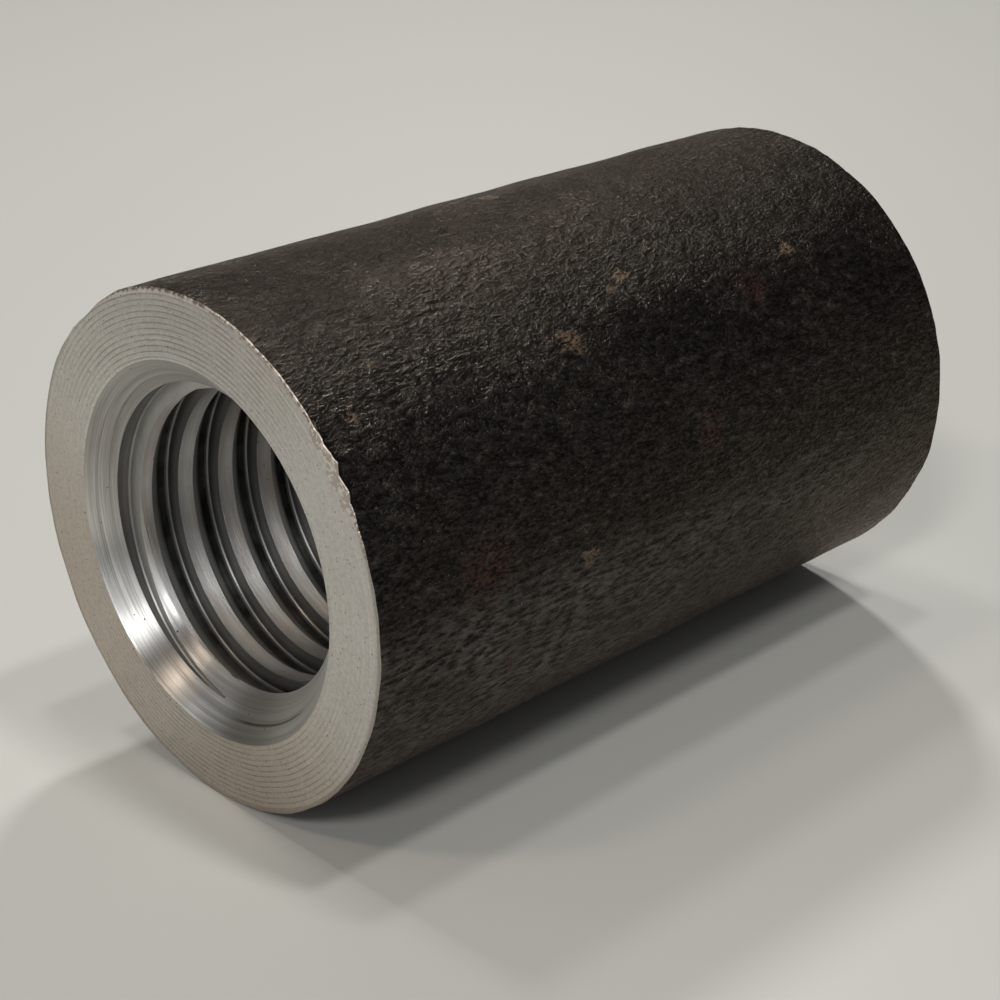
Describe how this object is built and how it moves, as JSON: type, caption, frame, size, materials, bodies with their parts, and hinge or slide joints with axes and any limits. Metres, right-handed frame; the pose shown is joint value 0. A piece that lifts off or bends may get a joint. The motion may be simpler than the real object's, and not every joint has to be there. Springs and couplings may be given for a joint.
{
  "type": "rebar coupler",
  "caption": "Threaded rebar coupler: a round sleeve of black mill-scaled steel with bright faced ends, countersunk mouths and a coarse right-hand thread right through.",
  "frame": {"origin": "centre of the lower end face, on the bore axis", "axes": "+Z along the bore from the lower face to the upper face; the sleeve stands on its lower face"},
  "size_m": [0.0256, 0.0256, 0.041],
  "materials": {
    "steel": "hot-rolled with dark mill scale outside, bright turned steel on the end faces and in the bore"
  },
  "bodies": {
    "root": {"coupler": "steel"}
  },
  "joints": []
}
